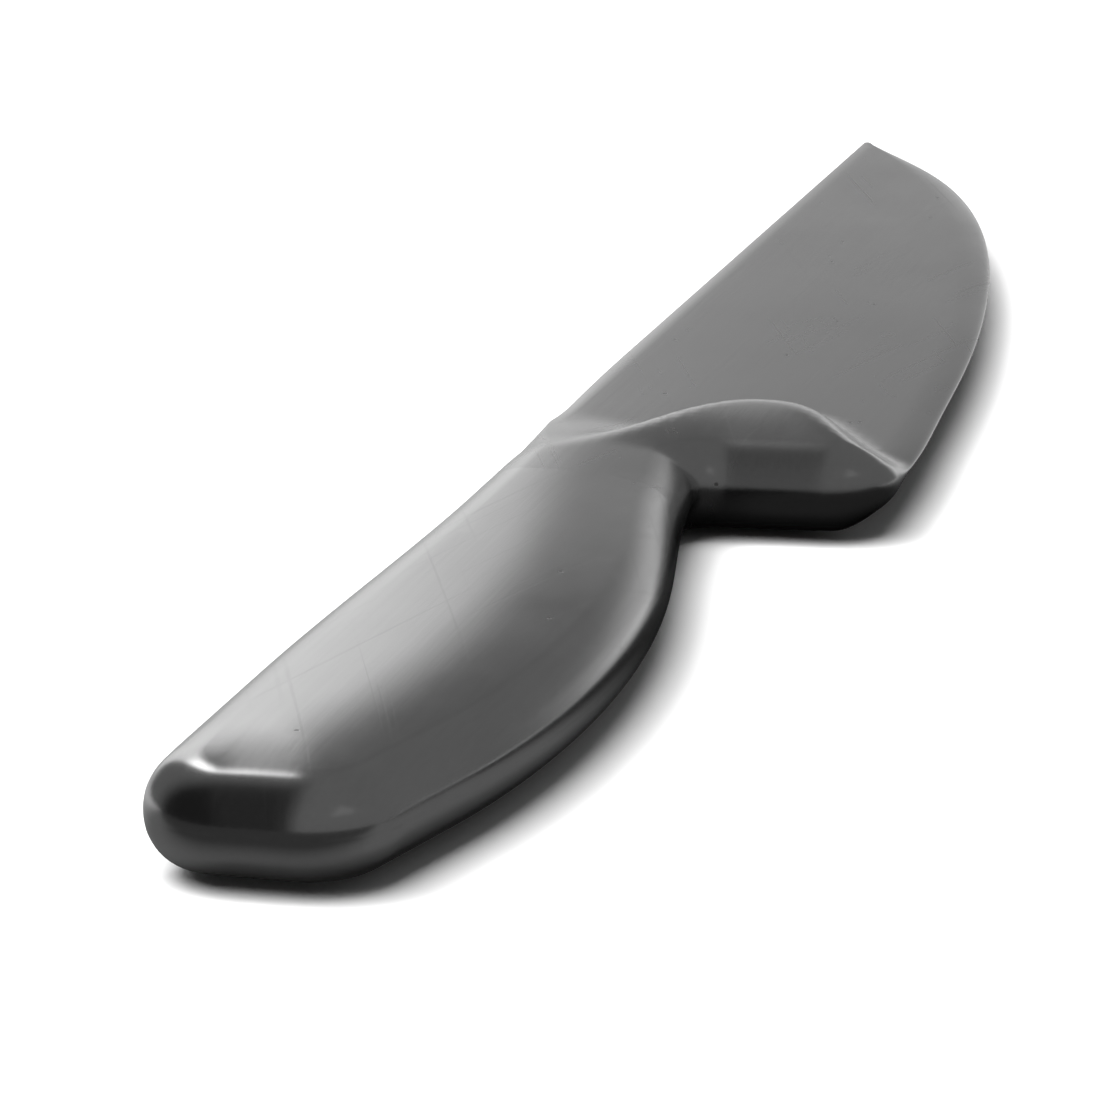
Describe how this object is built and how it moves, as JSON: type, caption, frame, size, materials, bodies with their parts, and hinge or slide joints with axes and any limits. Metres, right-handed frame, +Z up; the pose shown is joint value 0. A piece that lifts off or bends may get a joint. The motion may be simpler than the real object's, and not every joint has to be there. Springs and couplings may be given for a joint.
{
  "type": "kitchen knife",
  "caption": "All-steel kitchen knife lying on its side: thick rounded hollow handle, finger notch, thin blade with a straight spine.",
  "frame": {"origin": "middle of the bottom of the knife's box, on the surface that the knife lies on", "axes": "+X from the butt of the handle to the tip of the blade, +Y towards the spine, +Z up out of the side of the knife"},
  "size_m": [0.23, 0.0278, 0.008],
  "materials": {
    "blade_steel": "satin stainless steel, fine brushing along the blade",
    "handle_steel": "polished stainless steel with fine pits and light scratches",
    "braze": "silver-coloured braze, polished flush with the shells",
    "filler": "dull set resin"
  },
  "bodies": {
    "root": {"blade": "blade_steel", "handle_shell_upper": "handle_steel", "handle_shell_lower": "handle_steel", "seam_braze": "braze", "handle_filler": "filler"}
  },
  "joints": []
}
